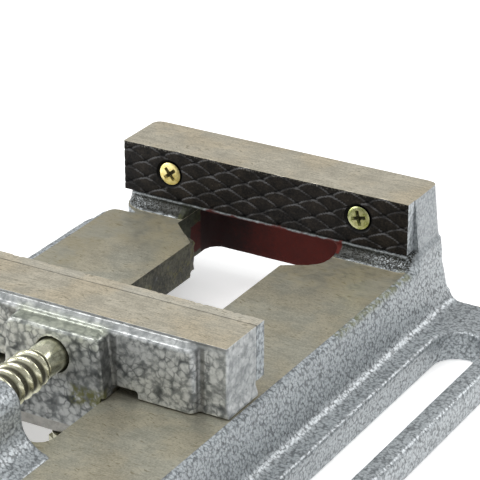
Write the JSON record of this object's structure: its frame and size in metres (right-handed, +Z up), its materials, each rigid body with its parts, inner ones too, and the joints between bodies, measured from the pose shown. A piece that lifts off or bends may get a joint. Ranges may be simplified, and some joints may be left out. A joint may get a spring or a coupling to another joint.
{
  "type": "drill press vise",
  "caption": "Low drill press vise: cast base with machined ways and a slotted side flange, serrated jaw plates, lead screw with a sliding tommy bar.",
  "frame": {"origin": "Centre of the vise's bounding box in plan, on the plane that its base stands on, with the jaws 86 mm open and the tommy bar centred and level.", "axes": "+Y runs along the lead screw from its handle towards the fixed jaw, +X along the jaws to the right as seen from the handle end, and +Z up."},
  "size_m": [0.1606, 0.2988, 0.047],
  "materials": {
    "hammered_paint": "grey hammered paint, with the ways and jaw tops ground bare",
    "black_steel": "black oxide over coarse serrations",
    "yellow_zinc": "yellow passivated zinc",
    "bright_zinc": "bright zinc, slightly yellow",
    "plain_steel": "plain steel"
  },
  "bodies": {
    "base": {"base_casting": "hammered_paint", "fixed_jaw_plate": "black_steel", "fixed_plate_screw_left": "yellow_zinc", "fixed_plate_screw_right": "yellow_zinc"},
    "jaw": {"moving_jaw_casting": "hammered_paint", "moving_jaw_plate": "black_steel", "moving_plate_screw_left": "yellow_zinc", "moving_plate_screw_right": "yellow_zinc", "keeper_plate": "plain_steel", "keeper_washer_back": "plain_steel", "keeper_washer_front": "plain_steel", "keeper_bolt_back": "plain_steel", "keeper_bolt_front": "plain_steel", "nose_pin_left": "plain_steel", "nose_pin_right": "plain_steel"},
    "screw": {"lead_screw": "bright_zinc"},
    "handle": {"tommy_bar": "bright_zinc", "bar_knob_left": "bright_zinc", "bar_knob_right": "bright_zinc"}
  },
  "joints": [
    {"name": "jaw_slide", "type": "slide", "parent": "base", "child": "jaw", "axis": [0, 1, 0], "range_m": [-0.01401, 0.08561]},
    {"name": "screw_spin", "type": "hinge", "parent": "jaw", "child": "screw", "pos_m": [-0.00505, -0.1384, 0.0359], "axis": [0, 1, 0], "range_deg": [-1260, 7704]},
    {"name": "bar_slide", "type": "slide", "parent": "screw", "child": "handle", "axis": [1, 0, 0], "range_m": [-0.0296, 0.0296]}
  ],
  "couplings": [
    {"joint": "jaw_slide", "follows": "screw_spin", "m_per_rad": 0.00063662}
  ]
}
